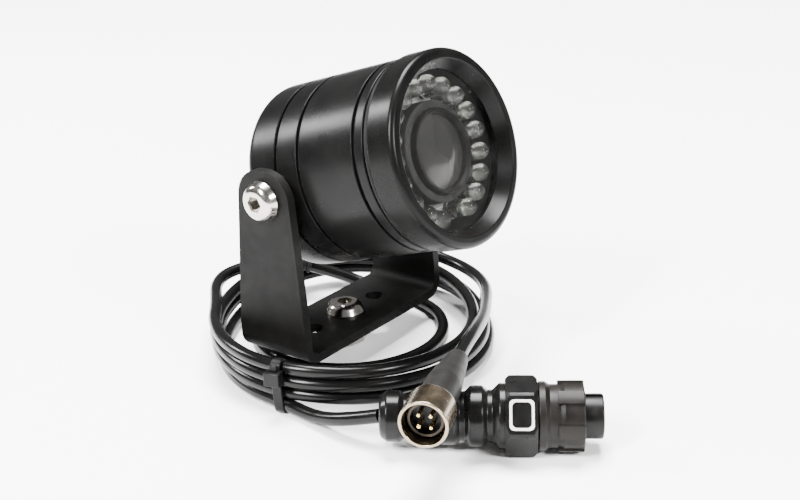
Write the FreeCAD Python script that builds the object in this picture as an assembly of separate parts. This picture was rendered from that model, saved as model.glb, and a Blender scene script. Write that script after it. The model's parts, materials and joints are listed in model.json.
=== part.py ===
import FreeCAD, Part
import math
import os

os.makedirs("parts", exist_ok=True)
V = FreeCAD.Vector
Rotation = FreeCAD.Rotation
Placement = FreeCAD.Placement

# A bullet backup camera on a tilting U-bracket, with its own tied pigtail and two connectors.
# Frame: millimetres, +Z up, X along the tilt axis, the lens looks towards -Y.
# The origin is where the base bolt's end meets the surface that the unit stands on.

# ---------------------------------------------------------------- driving dimensions
CABLE_DIAMETER = 3.5
CABLE_RADIUS = CABLE_DIAMETER / 2
ROUTE_ARC_SHARE = 0.45

SCREW_RADIUS = 3.175
SCREW_LENGTH = 9.5
HEAD_RADIUS = 5.55
HEAD_HEIGHT = 3.3
HEX_KEY = 3.97
NUT_HEIGHT = 5.5
NUT_FLATS = 11.1

PLATE = 2.5
BASE_UNDERSIDE = SCREW_LENGTH - PLATE
BASE_TOP = BASE_UNDERSIDE + PLATE
ARM_OUTER = 30.0
ARM_INNER = ARM_OUTER - PLATE
BASE_DEPTH = 23.0
ARM_TOP_WIDTH = 16.0
BEND_INNER = 2.5
PIVOT_HEIGHT = 51.5
PIVOT_HOLE_RADIUS = SCREW_RADIUS + 0.075
SIDE_HOLE_RADIUS = 2.75
SIDE_HOLE_SPACING = 27.0

REST_TILT = 17.5
BARREL_RADIUS = 25.0
RING_RADIUS = 25.55
REAR_END = -10.0
FRONT_END = 42.3
RING_START = 33.9
NECK_START = 32.1
NECK_RADIUS = 23.4
SPIGOT_RADIUS = 23.0
SPIGOT_END = 36.6
GROOVES = (1.1, 9.1, 28.4)
GROOVE_WIDTH = 1.0
GROOVE_DEPTH = 0.8
FRONT_BORE = 21.0
REAR_BORE = 17.5
BOARD_SHOULDER = 9.0
REAR_WALL_INNER = -6.5
SPOT_FACE = 24.5
SPOT_FACE_RADIUS = 6.2
PIVOT_BORE_END = 20.0
RUNNING_GAP = 0.05

WINDOW_RADIUS = 20.6
WINDOW_FACE = 38.6
WINDOW_THICKNESS = 1.2
LIP_RADIUS = 22.6

LED_COUNT = 19
LED_CIRCLE = 17.4
LED_RADIUS = 2.5
LED_BOARD_FACE = 26.6
BOARD_THICKNESS = 1.6
LED_TIP = 37.2
BAFFLE_OUTER = 13.2
BAFFLE_END = 35.0
LENS_RADIUS = 11.0
LENS_FRONT = 37.0
GLASS_RADIUS = 9.8
SENSOR_BOARD_FACE = BOARD_SHOULDER + BOARD_THICKNESS
BOARD_SCREW_CIRCLE = 19.2
BOARD_SCREW_FIRST = 30.0
BOARD_SCREW_RADIUS = 0.8
STANDOFF_CIRCLE = 17.2
STANDOFF_RADIUS = 2.0

GLAND_FLANGE_END = -13.2
GLAND_END = -21.0
GLAND_THREAD_RADIUS = 5.0

COIL_CENTRE = V(0.5, -2.0, 0)
COIL_OUTER = 45.5
COIL_INNER = 35.5
COIL_HEIGHT = 10.5
TEE_CENTRE = V(13.0, 35.7, 13.8)
TEE_RADIUS = 3.2
TEE_HALF_LENGTH = 8.0
TEE_BAR_ANGLE = 160.0
TEE_LEG_LENGTH = 9.5
TEE_LEG_RADIUS = 2.6
TIE_ANGLE = 197.0
TIE_THICKNESS = 0.9
TIE_WIDTH = 2.6

PLUG_START = V(-41.7, -44.7, 8.6)
PLUG_ANGLE = -56.5
PLUG_BOOT_END = 30.0
PLUG_HEX_END = 37.6
PLUG_HEX_FLATS = 17.2
PLUG_RING_START = 37.8
PLUG_RING_END = 48.6
PLUG_END = 53.2
PLUG_SHELL_RADIUS = 6.3
PLUG_NOSE_RADIUS = 5.4
PLUG_BORE = 4.5

BRANCH_START = V(-23.9, -55.4, 19.6)
BRANCH_ANGLE = -158.5
OVERMOULD_END = 24.8
NUT_START = 25.0
BRANCH_END = 34.0
NUT_RADIUS = 5.75
BRANCH_SHELL_RADIUS = 4.3
TURN_CLEARANCE = 0.1

TRUNK_DROP = [
    V(0, 28.4, 42.55),
    V(1.0, 34.6, 37.3),
    V(3.2, 37.6, 29.8),
    V(4.6, 36.4, 20.8),
    V(3.0, 33.0, 12.8),
    V(-3.0, 30.2, 6.2),
]
INNER_LOOP_CENTRE = V(5.0, 2.5, CABLE_RADIUS)
INNER_LOOP_RADIUS = 27.4
INNER_LOOP_FIRST = 120.0
INNER_LOOP_STEP = 26.2
INNER_LOOP_POINTS = 10
TRUNK_RISE = [
    V(30.6, 8.5, 2.2),
    V(28.6, 16.0, 4.4),
    V(24.4, 22.8, 7.6),
]
TEE_ENTRY = V(18.9, 29.0, 10.6)
PLUG_LEAD_ROUTE = [
    V(-39.5, -14.0, 3.0),
    V(-42.2, -24.0, 3.2),
    V(-43.4, -35.0, 5.2),
    PLUG_START,
]
BRANCH_LEAD_ROUTE = [
    V(22.5, -33.0, 11.5),
    V(7.0, -42.3, 15.6),
    V(-8.0, -49.3, 18.6),
    V(-17.0, -52.7, 19.5),
    BRANCH_START,
]

# ---------------------------------------------------------------- placements
# Turned pieces are drawn along their own +X axis, which these placements point the right way.
BESIDE_LENS = Placement(V(0, 0, 0), Rotation(V(0, 0, 1), -90))
IN_CAMERA = Placement(V(0, 0, PIVOT_HEIGHT), Rotation(V(1, 0, 0), -REST_TILT)).multiply(BESIDE_LENS)
ON_PLUG = Placement(PLUG_START, Rotation(V(0, 0, 1), PLUG_ANGLE))
ON_BRANCH = Placement(BRANCH_START, Rotation(V(0, 0, 1), BRANCH_ANGLE))
UPRIGHT = Placement(V(0, 0, 0), Rotation(V(0, 1, 0), -90))


def save(name, shape, placement=None):
    """Write one node's STEP, moved by its placement."""
    placed = shape.copy()
    if placement is not None:
        placed.Placement = placement.multiply(placed.Placement)
    placed.exportStep("parts/" + name + ".step")


# ---------------------------------------------------------------- shape helpers
def rounded_wire(points, lift):
    """Closed wire through (a, b) or (a, b, corner radius) points, each lifted to a vector."""
    corners = [tuple(p) + (0.0,) * (3 - len(p)) for p in points]
    spans = []
    for index, (a, b, radius) in enumerate(corners):
        before = corners[index - 1]
        after = corners[(index + 1) % len(corners)]
        corner = V(a, b, 0)
        to_before = (V(before[0], before[1], 0) - corner).normalize()
        to_after = (V(after[0], after[1], 0) - corner).normalize()
        if radius == 0:
            spans.append((corner, None, corner))
            continue
        half = to_before.getAngle(to_after) / 2
        reach = radius / math.tan(half)
        inward = (to_before + to_after).normalize()
        middle = corner + inward * (radius / math.sin(half) - radius)
        spans.append((corner + to_before * reach, middle, corner + to_after * reach))
    edges = []
    for index, (start, middle, end) in enumerate(spans):
        if middle is not None:
            arc = Part.Arc(lift(start), lift(middle), lift(end))
            edges.append(arc.toShape())
        following = spans[(index + 1) % len(spans)][0]
        if (following - end).Length > 1e-6:
            edges.append(Part.LineSegment(lift(end), lift(following)).toShape())
    return Part.Wire(edges)


def turned(points):
    """Solid of revolution about +X through (station, radius) points."""
    face = Part.Face(rounded_wire(points, lambda p: V(p.x, 0, p.y)))
    return face.revolve(V(0, 0, 0), V(1, 0, 0), 360)


def tube(start, end, outer, inner, corner=0.0):
    """A turned tube from one station to another."""
    profile = [(start, inner), (start, outer, corner), (end, outer, corner), (end, inner)]
    return turned(profile)


def disc(start, end, radius, corner=0.0):
    """A turned solid disc."""
    return turned([(start, 0), (start, radius, corner), (end, radius, corner), (end, 0)])


def hexagon(start, end, flats):
    """Hexagonal bar along +X with a flat facing down."""
    reach = flats / math.sqrt(3)
    corners = []
    for step in range(7):
        angle = math.radians(60 * step)
        corners.append(V(start, reach * math.cos(angle), reach * math.sin(angle)))
    return Part.Face(Part.makePolygon(corners)).extrude(V(end - start, 0, 0))


def around(count, radius, first=0.0):
    """(y, z) of evenly spaced places round the +X axis."""
    places = []
    for step in range(count):
        angle = math.radians(first + 360.0 * step / count)
        places.append((radius * math.cos(angle), radius * math.sin(angle)))
    return places


def cylinder(radius, start, end):
    """Plain cylinder between two points."""
    direction = end - start
    return Part.makeCylinder(radius, direction.Length, start, direction)


def cable(name, route):
    """Cable of straight runs joined by tangent arcs; prints its radii and its volume test."""
    edges = []
    start = route[0]
    radii = []
    for before, corner, after in zip(route, route[1:], route[2:]):
        to_before = before - corner
        to_after = after - corner
        half_turn = (math.pi - to_before.getAngle(to_after)) / 2
        reach = ROUTE_ARC_SHARE * min(to_before.Length, to_after.Length)
        radius = reach / math.tan(half_turn)
        radii.append(round(radius, 1))
        arc_start = corner + to_before.normalize() * reach
        arc_end = corner + to_after.normalize() * reach
        inward = (to_before + to_after).normalize()
        middle = corner + inward * (radius / math.cos(half_turn) - radius)
        edges.append(Part.LineSegment(start, arc_start).toShape())
        edges.append(Part.Arc(arc_start, middle, arc_end).toShape())
        start = arc_end
    edges.append(Part.LineSegment(start, route[-1]).toShape())
    path = Part.Wire(edges)
    section = Part.Wire(Part.makeCircle(CABLE_RADIUS, route[0], route[1] - route[0]))
    solid = path.makePipeShell([section], True, False)
    expected = math.pi * CABLE_RADIUS ** 2 * path.Length
    share = solid.Volume / expected
    print(name, "radii", radii, "length", round(path.Length, 1), "volume share", round(share, 3))
    return solid


# ---------------------------------------------------------------- fasteners
def button_screw(length):
    """Button-head screw along +X, with its head's underside at station 0."""
    body = turned([
        (-length, 0), (-length, SCREW_RADIUS, 0.5), (0, SCREW_RADIUS), (0, HEAD_RADIUS),
        (0.6, HEAD_RADIUS, 0.25), (HEAD_HEIGHT, HEAD_RADIUS - 1.3, 2.4), (HEAD_HEIGHT, 0),
    ])
    socket_depth = 2.0
    return body.cut(hexagon(HEAD_HEIGHT - socket_depth, HEAD_HEIGHT + 1, HEX_KEY))


def base_fasteners():
    """The screw in the base's centre hole and the nut under the base."""
    screw = button_screw(SCREW_LENGTH)
    save("base_bolt", screw, Placement(V(0, 0, BASE_TOP), Rotation(V(0, 1, 0), -90)))
    bottom = BASE_UNDERSIDE - NUT_HEIGHT
    corner = NUT_FLATS / math.sqrt(3)
    chamfered = turned([
        (bottom, SCREW_RADIUS), (bottom, corner - 0.8), (bottom + 0.5, corner + 0.1),
        (BASE_UNDERSIDE - 0.5, corner + 0.1), (BASE_UNDERSIDE, corner - 0.8),
        (BASE_UNDERSIDE, SCREW_RADIUS),
    ])
    nut = hexagon(bottom, BASE_UNDERSIDE, NUT_FLATS).common(chamfered)
    save("base_nut", nut, UPRIGHT)


def pivot_fasteners():
    """Two tilt screws and the two spacers between the housing and the arms."""
    screws = []
    spacers = []
    for side in (-1, 1):
        facing = Rotation(V(0, 0, 1), 0 if side > 0 else 180)
        screw = button_screw(SCREW_LENGTH)
        screw.Placement = Placement(V(side * (ARM_OUTER + RUNNING_GAP), 0, PIVOT_HEIGHT), facing)
        screws.append(screw)
        spacer = tube(SPOT_FACE, ARM_INNER - RUNNING_GAP, 5.9, PIVOT_HOLE_RADIUS, 0.4)
        spacer.Placement = Placement(V(0, 0, PIVOT_HEIGHT), facing)
        spacers.append(spacer)
    save("pivot_screws", Part.makeCompound(screws))
    save("pivot_spacers", Part.makeCompound(spacers))


# ---------------------------------------------------------------- bracket
def mounting_bracket():
    """Bent U-bracket: a base with three holes and two tapered arms."""
    arm_top = PIVOT_HEIGHT + ARM_TOP_WIDTH / 2
    bend_outer = BEND_INNER + PLATE
    half_depth = BASE_DEPTH / 2
    section = rounded_wire([
        (-ARM_OUTER, BASE_UNDERSIDE, bend_outer), (ARM_OUTER, BASE_UNDERSIDE, bend_outer),
        (ARM_OUTER, arm_top + 1), (ARM_INNER, arm_top + 1),
        (ARM_INNER, BASE_TOP, BEND_INNER), (-ARM_INNER, BASE_TOP, BEND_INNER),
        (-ARM_INNER, arm_top + 1), (-ARM_OUTER, arm_top + 1),
    ], lambda p: V(p.x, -half_depth, p.y))
    channel = Part.Face(section).extrude(V(0, BASE_DEPTH, 0))
    foot_of_taper = BASE_TOP + 6
    half_top = ARM_TOP_WIDTH / 2
    corner = half_top - 0.1
    side = rounded_wire([
        (-half_depth, BASE_UNDERSIDE - 1), (half_depth, BASE_UNDERSIDE - 1),
        (half_depth, foot_of_taper, 4.0), (half_top, arm_top, corner),
        (-half_top, arm_top, corner), (-half_depth, foot_of_taper, 4.0),
    ], lambda p: V(-ARM_OUTER - 1, p.x, p.y))
    outline = Part.Face(side).extrude(V(2 * ARM_OUTER + 2, 0, 0))
    bracket = channel.common(outline)
    reach = ARM_OUTER + 2
    pivot_hole = cylinder(PIVOT_HOLE_RADIUS, V(-reach, 0, PIVOT_HEIGHT), V(reach, 0, PIVOT_HEIGHT))
    bracket = bracket.cut(pivot_hole)
    for x, radius in ((-SIDE_HOLE_SPACING / 2, SIDE_HOLE_RADIUS), (0, SCREW_RADIUS + 0.1),
                      (SIDE_HOLE_SPACING / 2, SIDE_HOLE_RADIUS)):
        bracket = bracket.cut(cylinder(radius, V(x, 0, BASE_UNDERSIDE - 1), V(x, 0, BASE_TOP + 1)))
    save("mounting_bracket", bracket)


# ---------------------------------------------------------------- camera housing
def barrel_housing():
    """One-piece barrel with a closed rear wall, grooves, a seal neck and a front spigot."""
    profile = [(REAR_END, GLAND_THREAD_RADIUS), (REAR_END, BARREL_RADIUS, 3.0)]
    for start in GROOVES:
        end = start + GROOVE_WIDTH
        floor = BARREL_RADIUS - GROOVE_DEPTH
        profile += [(start, BARREL_RADIUS, 0.2), (start, floor), (end, floor), (end, BARREL_RADIUS, 0.2)]
    profile += [
        (NECK_START, BARREL_RADIUS, 0.3), (NECK_START, NECK_RADIUS), (RING_START, NECK_RADIUS),
        (RING_START, SPIGOT_RADIUS), (SPIGOT_END, SPIGOT_RADIUS), (SPIGOT_END, FRONT_BORE),
        (BOARD_SHOULDER, FRONT_BORE), (BOARD_SHOULDER, REAR_BORE), (REAR_WALL_INNER, REAR_BORE),
        (REAR_WALL_INNER, GLAND_THREAD_RADIUS),
    ]
    barrel = turned(profile)
    for side in (-1, 1):
        face = cylinder(SPOT_FACE_RADIUS, V(0, side * SPOT_FACE, 0), V(0, side * 30, 0))
        bore = cylinder(SCREW_RADIUS, V(0, side * PIVOT_BORE_END, 0), V(0, side * 26, 0))
        barrel = barrel.cut(face).cut(bore)
    for y, z in around(3, BOARD_SCREW_CIRCLE, BOARD_SCREW_FIRST):
        bottom = V(BOARD_SHOULDER - 5, y, z)
        barrel = barrel.cut(cylinder(BOARD_SCREW_RADIUS, bottom, V(BOARD_SHOULDER, y, z)))
    save("barrel_housing", barrel, IN_CAMERA)


def front_ring():
    """Screwed front ring with a rounded rim and a conical recess to the window."""
    ring = turned([
        (RING_START, SPIGOT_RADIUS), (RING_START, RING_RADIUS, 0.5), (FRONT_END, RING_RADIUS, 1.6),
        (FRONT_END, LIP_RADIUS, 0.4), (WINDOW_FACE, WINDOW_RADIUS), (WINDOW_FACE, SPIGOT_RADIUS),
    ])
    save("front_ring", ring, IN_CAMERA)


def window_and_seals():
    """Flat window, its gasket on the barrel's end, and the O-ring behind the front ring."""
    back = WINDOW_FACE - WINDOW_THICKNESS
    edge = SPIGOT_RADIUS - 0.1
    save("front_window", disc(back, WINDOW_FACE, edge, 0.2), IN_CAMERA)
    save("window_seal", tube(SPIGOT_END, back, edge, FRONT_BORE + 0.1), IN_CAMERA)
    seal_radius = 0.8
    middle = (NECK_START + RING_START) / 2
    seal = Part.makeTorus(NECK_RADIUS + seal_radius, seal_radius, V(middle, 0, 0), V(1, 0, 0))
    save("ring_seal", seal, IN_CAMERA)


# ---------------------------------------------------------------- lights
def light_ring():
    """LED board, the infrared lamps, the light sensor and the baffle round the lens."""
    board_back = LED_BOARD_FACE - BOARD_THICKNESS
    save("led_board", tube(board_back, LED_BOARD_FACE, FRONT_BORE - 0.3, LENS_RADIUS + 0.4), IN_CAMERA)
    dome = LED_RADIUS - 0.2
    lamp = disc(LED_BOARD_FACE, LED_TIP, LED_RADIUS, dome)
    lamps = []
    for y, z in around(LED_COUNT, LED_CIRCLE, -90)[1:]:
        placed = lamp.copy()
        placed.translate(V(0, y, z))
        lamps.append(placed)
    save("infrared_leds", Part.makeCompound(lamps), IN_CAMERA)
    sensor = disc(LED_BOARD_FACE, LED_BOARD_FACE + 2.2, LED_RADIUS, 0.3)
    sensor.translate(V(0, 0, -LED_CIRCLE))
    save("photocell", sensor, IN_CAMERA)
    save("light_baffle", tube(LED_BOARD_FACE, BAFFLE_END, BAFFLE_OUTER, LENS_RADIUS + 0.2, 0.3), IN_CAMERA)


# ---------------------------------------------------------------- optics
def lens():
    """Lens barrel with its threaded tail, front and rear elements, and its holder."""
    tail_radius = 6.0
    tail_start = 13.0
    glass_seat = LENS_FRONT - 2.8
    light_path = 4.0
    barrel = turned([
        (tail_start, light_path), (tail_start, tail_radius, 0.3), (24.2, tail_radius),
        (24.2, LENS_RADIUS, 0.5), (LENS_FRONT, LENS_RADIUS, 0.4), (LENS_FRONT, GLASS_RADIUS + 0.5),
        (LENS_FRONT - 0.9, GLASS_RADIUS), (glass_seat, GLASS_RADIUS), (glass_seat, light_path),
    ])
    save("lens_barrel", barrel, IN_CAMERA)
    crown = LENS_FRONT - 0.5
    front = turned([
        (glass_seat, 0), (glass_seat, GLASS_RADIUS), (glass_seat + 0.6, GLASS_RADIUS, 0.2),
        (crown, 4.0, 12.0), (crown, 0),
    ])
    save("lens_front_element", front, IN_CAMERA)
    save("lens_rear_element", disc(tail_start + 0.8, tail_start + 2.6, light_path, 0.3), IN_CAMERA)
    holder_half = 10.0
    corner = V(SENSOR_BOARD_FACE, -holder_half, -holder_half)
    foot = Part.makeBox(1.8, 2 * holder_half, 2 * holder_half, corner)
    sleeve = disc(SENSOR_BOARD_FACE + 1.8, 20.0, 8.0)
    pocket = Part.makeBox(1.8, 13, 13, V(SENSOR_BOARD_FACE, -6.5, -6.5))
    bore = disc(SENSOR_BOARD_FACE, 21.0, tail_radius)
    save("lens_holder", foot.fuse(sleeve).cut(pocket).cut(bore).removeSplitter(), IN_CAMERA)


# ---------------------------------------------------------------- electronics
def boards():
    """Sensor board with its chip and header, the standoffs and the board screws."""
    board = disc(BOARD_SHOULDER, SENSOR_BOARD_FACE, FRONT_BORE - 0.3)
    hole_radius = BOARD_SCREW_RADIUS + 0.1
    for y, z in around(3, BOARD_SCREW_CIRCLE, BOARD_SCREW_FIRST):
        behind = V(BOARD_SHOULDER - 1, y, z)
        board = board.cut(cylinder(hole_radius, behind, V(SENSOR_BOARD_FACE + 1, y, z)))
    save("sensor_board", board, IN_CAMERA)
    save("image_sensor", Part.makeBox(1.2, 8.0, 6.4, V(SENSOR_BOARD_FACE, -4.0, -3.2)), IN_CAMERA)
    standoffs = []
    screws = []
    led_board_back = LED_BOARD_FACE - BOARD_THICKNESS
    for y, z in around(3, STANDOFF_CIRCLE, 90):
        foot = V(SENSOR_BOARD_FACE, y, z)
        standoffs.append(cylinder(STANDOFF_RADIUS, foot, V(led_board_back, y, z)))
    head_radius = 1.45
    head_height = 1.1
    for y, z in around(3, BOARD_SCREW_CIRCLE, BOARD_SCREW_FIRST):
        screw = turned([
            (-6.0, 0), (-6.0, BOARD_SCREW_RADIUS), (0, BOARD_SCREW_RADIUS), (0, head_radius),
            (head_height, head_radius, 0.5), (head_height, 0),
        ])
        screw.translate(V(SENSOR_BOARD_FACE, y, z))
        screws.append(screw)
    save("board_standoffs", Part.makeCompound(standoffs), IN_CAMERA)
    save("board_screws", Part.makeCompound(screws), IN_CAMERA)
    header = Part.makeBox(5.5, 12.0, 5.6, V(BOARD_SHOULDER - 5.5, -6.0, -2.8))
    recess = Part.makeBox(4.0, 10.4, 4.0, V(BOARD_SHOULDER - 5.5, -5.2, -2.0))
    save("board_header", header.cut(recess), IN_CAMERA)
    save("header_plug", Part.makeBox(5.0, 10.2, 3.8, V(BOARD_SHOULDER - 6.6, -5.1, -1.9)), IN_CAMERA)


def cable_gland():
    """Gland in the rear wall: body, inside nut, sealing sleeve, dome nut and the lead through it."""
    shank_end = REAR_WALL_INNER + 2.8
    flange = hexagon(GLAND_FLANGE_END, REAR_END, 14.0).common(
        disc(GLAND_FLANGE_END, REAR_END, 7.7, 0.6))
    shank = disc(REAR_END, shank_end, GLAND_THREAD_RADIUS)
    bore = disc(GLAND_FLANGE_END - 1, shank_end + 1, CABLE_RADIUS)
    save("gland_body", flange.fuse(shank).cut(bore).removeSplitter(), IN_CAMERA)
    locknut = hexagon(REAR_WALL_INNER, shank_end, 13.0).cut(
        disc(REAR_WALL_INNER - 1, shank_end + 1, GLAND_THREAD_RADIUS))
    save("gland_locknut", locknut, IN_CAMERA)
    seal_end = GLAND_FLANGE_END - 5.0
    save("gland_seal", tube(seal_end, GLAND_FLANGE_END, 4.2, CABLE_RADIUS, 0.3), IN_CAMERA)
    dome = turned([
        (GLAND_FLANGE_END, 4.2), (GLAND_FLANGE_END, 6.6, 0.4), (-17.6, 6.6, 1.2), (GLAND_END, 3.2, 0.6),
        (GLAND_END, CABLE_RADIUS), (seal_end, CABLE_RADIUS), (seal_end, 4.2),
    ])
    save("gland_nut", dome, IN_CAMERA)
    save("inner_lead", disc(GLAND_END, BOARD_SHOULDER - 6.6, CABLE_RADIUS), IN_CAMERA)


# ---------------------------------------------------------------- pigtail
def inner_loop():
    """Points of the trunk lead's loop on the floor, round the bracket's foot."""
    points = []
    for step in range(INNER_LOOP_POINTS):
        angle = math.radians(INNER_LOOP_FIRST + INNER_LOOP_STEP * step)
        around_foot = V(math.cos(angle), math.sin(angle), 0) * INNER_LOOP_RADIUS
        points.append(INNER_LOOP_CENTRE + around_foot)
    return points


def lead_tee():
    """Moulded tee: a bar along the coil's top and a leg that the trunk lead enters."""
    bar = disc(-TEE_HALF_LENGTH, TEE_HALF_LENGTH, TEE_RADIUS, 1.4)
    bar.Placement = Placement(TEE_CENTRE, Rotation(V(0, 0, 1), TEE_BAR_ANGLE))
    outward = (TEE_ENTRY - TEE_CENTRE).normalize()
    leg = turned([(0, 0), (0, TEE_LEG_RADIUS), (TEE_LEG_LENGTH, TEE_LEG_RADIUS, 0.6), (TEE_LEG_LENGTH, 0)])
    leg.Placement = Placement(TEE_CENTRE, Rotation(V(1, 0, 0), outward))
    save("lead_tee", bar.fuse(leg).removeSplitter())


def pigtail():
    """Trunk lead, splitting tee, the tied coil, its tie and the two tails."""
    tilt = math.radians(REST_TILT)
    exit_point = V(0, -GLAND_END * math.cos(tilt), PIVOT_HEIGHT + GLAND_END * math.sin(tilt))
    trunk_route = [exit_point] + TRUNK_DROP + inner_loop() + TRUNK_RISE + [TEE_ENTRY]
    save("trunk_lead", cable("trunk_lead", trunk_route))
    lead_tee()
    coil = turned([
        (0, COIL_INNER), (0, COIL_OUTER, 2.0), (COIL_HEIGHT, COIL_OUTER, 3.0),
        (COIL_HEIGHT, COIL_INNER, 3.0),
    ])
    coil.Placement = Placement(COIL_CENTRE, Rotation(V(0, 1, 0), -90))
    tie = cable_tie()
    save("cable_tie", tie)
    save("lead_coil", coil.cut(tie))
    save("plug_lead", cable("plug_lead", PLUG_LEAD_ROUTE))
    save("branch_lead", cable("branch_lead", BRANCH_LEAD_ROUTE))


def cable_tie():
    """Square band round the coil's section, with its head outside."""
    gap = 0.2
    inner_low = COIL_INNER - gap
    inner_size = COIL_OUTER - COIL_INNER + 2 * gap
    outer = Part.makeBox(inner_size + 2 * TIE_THICKNESS, TIE_WIDTH, COIL_HEIGHT + gap + TIE_THICKNESS,
                         V(inner_low - TIE_THICKNESS, -TIE_WIDTH / 2, 0))
    inner = Part.makeBox(inner_size, TIE_WIDTH, COIL_HEIGHT + gap - TIE_THICKNESS,
                         V(inner_low, -TIE_WIDTH / 2, TIE_THICKNESS))
    head = Part.makeBox(3.2, 4.4, 4.0, V(COIL_OUTER + gap, -2.2, COIL_HEIGHT - 4.5))
    tie = outer.cut(inner).fuse(head).removeSplitter()
    tie.rotate(V(0, 0, 0), V(0, 0, 1), TIE_ANGLE)
    tie.translate(COIL_CENTRE)
    return tie


# ---------------------------------------------------------------- ribbed plug
def ribbed_plug():
    """Ribbed boot, hexagonal backshell, keyed shell, insert and pins."""
    ribs = [(0, 0), (0, 5.0, 1.6)]
    for start, crest, valley in ((0.6, 6.2, 5.3), (7.2, 6.6, 5.6), (13.8, 6.9, 5.9), (20.4, 7.3, 6.3)):
        ribs += [(start + 1.2, crest, 0.9), (start + 4.2, crest, 0.9), (start + 5.4, valley, 0.4),
                 (start + 6.6, valley, 0.4)]
    ribs += [(PLUG_BOOT_END - 1.4, 7.9, 0.6), (PLUG_BOOT_END, 7.9), (PLUG_BOOT_END, 0)]
    boot = turned(ribs).cut(disc(-1, 1.5, CABLE_RADIUS))
    save("plug_boot", boot, ON_PLUG)
    outside = turned([
        (PLUG_BOOT_END, PLUG_SHELL_RADIUS), (PLUG_BOOT_END, 8.9, 0.3), (PLUG_BOOT_END + 0.9, 9.7, 0.3),
        (PLUG_HEX_END - 0.9, 9.7, 0.3), (PLUG_HEX_END, 8.9, 0.3), (PLUG_HEX_END, PLUG_SHELL_RADIUS),
    ])
    save("plug_backshell", hexagon(PLUG_BOOT_END, PLUG_HEX_END, PLUG_HEX_FLATS).common(outside), ON_PLUG)
    nose_start = 43.2
    shell = turned([
        (PLUG_BOOT_END, PLUG_BORE), (PLUG_BOOT_END, PLUG_SHELL_RADIUS),
        (nose_start, PLUG_SHELL_RADIUS, 0.2), (nose_start, PLUG_NOSE_RADIUS),
        (PLUG_END, PLUG_NOSE_RADIUS, 0.5), (PLUG_END, PLUG_BORE),
    ])
    keyway = Part.makeBox(5.0, 1.6, 1.0, V(PLUG_END - 5.0, -0.8, PLUG_NOSE_RADIUS - 0.5))
    save("plug_shell", shell.cut(keyway), ON_PLUG)
    pins = contact_pins(4, 2.4, 0.6, 44.0, 51.8, 45)
    save("plug_insert", disc(38.0, 46.8, PLUG_BORE, 0.2).cut(pins), ON_PLUG)
    save("plug_pins", pins, ON_PLUG)


def contact_pins(count, circle, radius, start, end, first):
    """Round pins with rounded tips."""
    pins = []
    for y, z in around(count, circle, first):
        pin = disc(start, end, radius, radius * 0.6)
        pin.translate(V(0, y, z))
        pins.append(pin)
    return Part.makeCompound(pins)


def plug_coupling_ring():
    """Turning ring of the ribbed plug: a rear rim, a waist and six lugs on its front collar."""
    bore = PLUG_SHELL_RADIUS + TURN_CLEARANCE
    front_bore = 7.0
    shoulder = 43.4
    lug_start = 42.4
    ring = turned([
        (PLUG_RING_START, bore), (PLUG_RING_START, 8.3, 0.3), (PLUG_RING_START + 1.6, 8.3, 0.3),
        (PLUG_RING_START + 2.6, 7.6, 0.3), (43.0, 7.6, 0.3), (43.9, 8.0, 0.3), (PLUG_RING_END, 8.0, 0.4),
        (PLUG_RING_END, front_bore), (shoulder, front_bore), (shoulder, bore),
    ])
    envelope = tube(PLUG_RING_START, PLUG_RING_END, 8.5, front_bore + 0.2, 0.3)
    for step in range(6):
        lug = Part.makeBox(PLUG_RING_END - lug_start, 3.4, 2.4, V(lug_start, -1.7, 6.9))
        lug.rotate(V(0, 0, 0), V(1, 0, 0), 30 + 60 * step)
        ring = ring.fuse(lug.common(envelope))
    save("plug_coupling_ring", ring.removeSplitter(), ON_PLUG)


# ---------------------------------------------------------------- metal branch connector
def branch_connector():
    """Tapered overmould, metal shell, insert, pins and the turning nut round them."""
    shell_tail = 3.6
    tail_start = 20.0
    overmould = turned([
        (0, 0), (0, 2.6, 0.8), (10.5, 3.9, 6.0), (15.0, 4.4, 6.0), (OVERMOULD_END, 4.5, 0.8),
        (OVERMOULD_END, shell_tail), (tail_start, shell_tail), (tail_start, 0),
    ])
    overmould = overmould.cut(disc(-1, 1.5, CABLE_RADIUS))
    save("branch_overmould", overmould, ON_BRANCH)
    flange = 4.9
    insert_radius = 3.6
    shell = turned([
        (tail_start, 2.6), (tail_start, shell_tail), (OVERMOULD_END, shell_tail),
        (OVERMOULD_END, BRANCH_SHELL_RADIUS), (27.0, BRANCH_SHELL_RADIUS), (27.0, flange), (28.0, flange),
        (28.0, BRANCH_SHELL_RADIUS), (31.6, BRANCH_SHELL_RADIUS, 0.2), (31.6, insert_radius),
        (26.0, insert_radius), (26.0, 2.6),
    ])
    save("branch_shell", shell, ON_BRANCH)
    pins = contact_pins(4, 2.0, 0.5, 27.0, 32.6, 45)
    insert = disc(26.0, 29.0, insert_radius)
    save("branch_insert", insert.cut(pins), ON_BRANCH)
    save("branch_pins", pins, ON_BRANCH)
    rear_bore = BRANCH_SHELL_RADIUS + TURN_CLEARANCE
    front_bore = flange + TURN_CLEARANCE
    nut = turned([
        (NUT_START, rear_bore), (NUT_START, NUT_RADIUS, 0.7), (BRANCH_END, NUT_RADIUS, 0.3),
        (BRANCH_END, front_bore, 0.2), (26.8, front_bore), (26.8, rear_bore),
    ])
    save("branch_coupling_nut", nut, ON_BRANCH)


base_fasteners()
pivot_fasteners()
mounting_bracket()
barrel_housing()
front_ring()
window_and_seals()
light_ring()
lens()
boards()
cable_gland()
pigtail()
ribbed_plug()
plug_coupling_ring()
branch_connector()
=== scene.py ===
import json
import math

import bmesh
import bpy
from mathutils import Matrix, Quaternion, Vector


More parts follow.
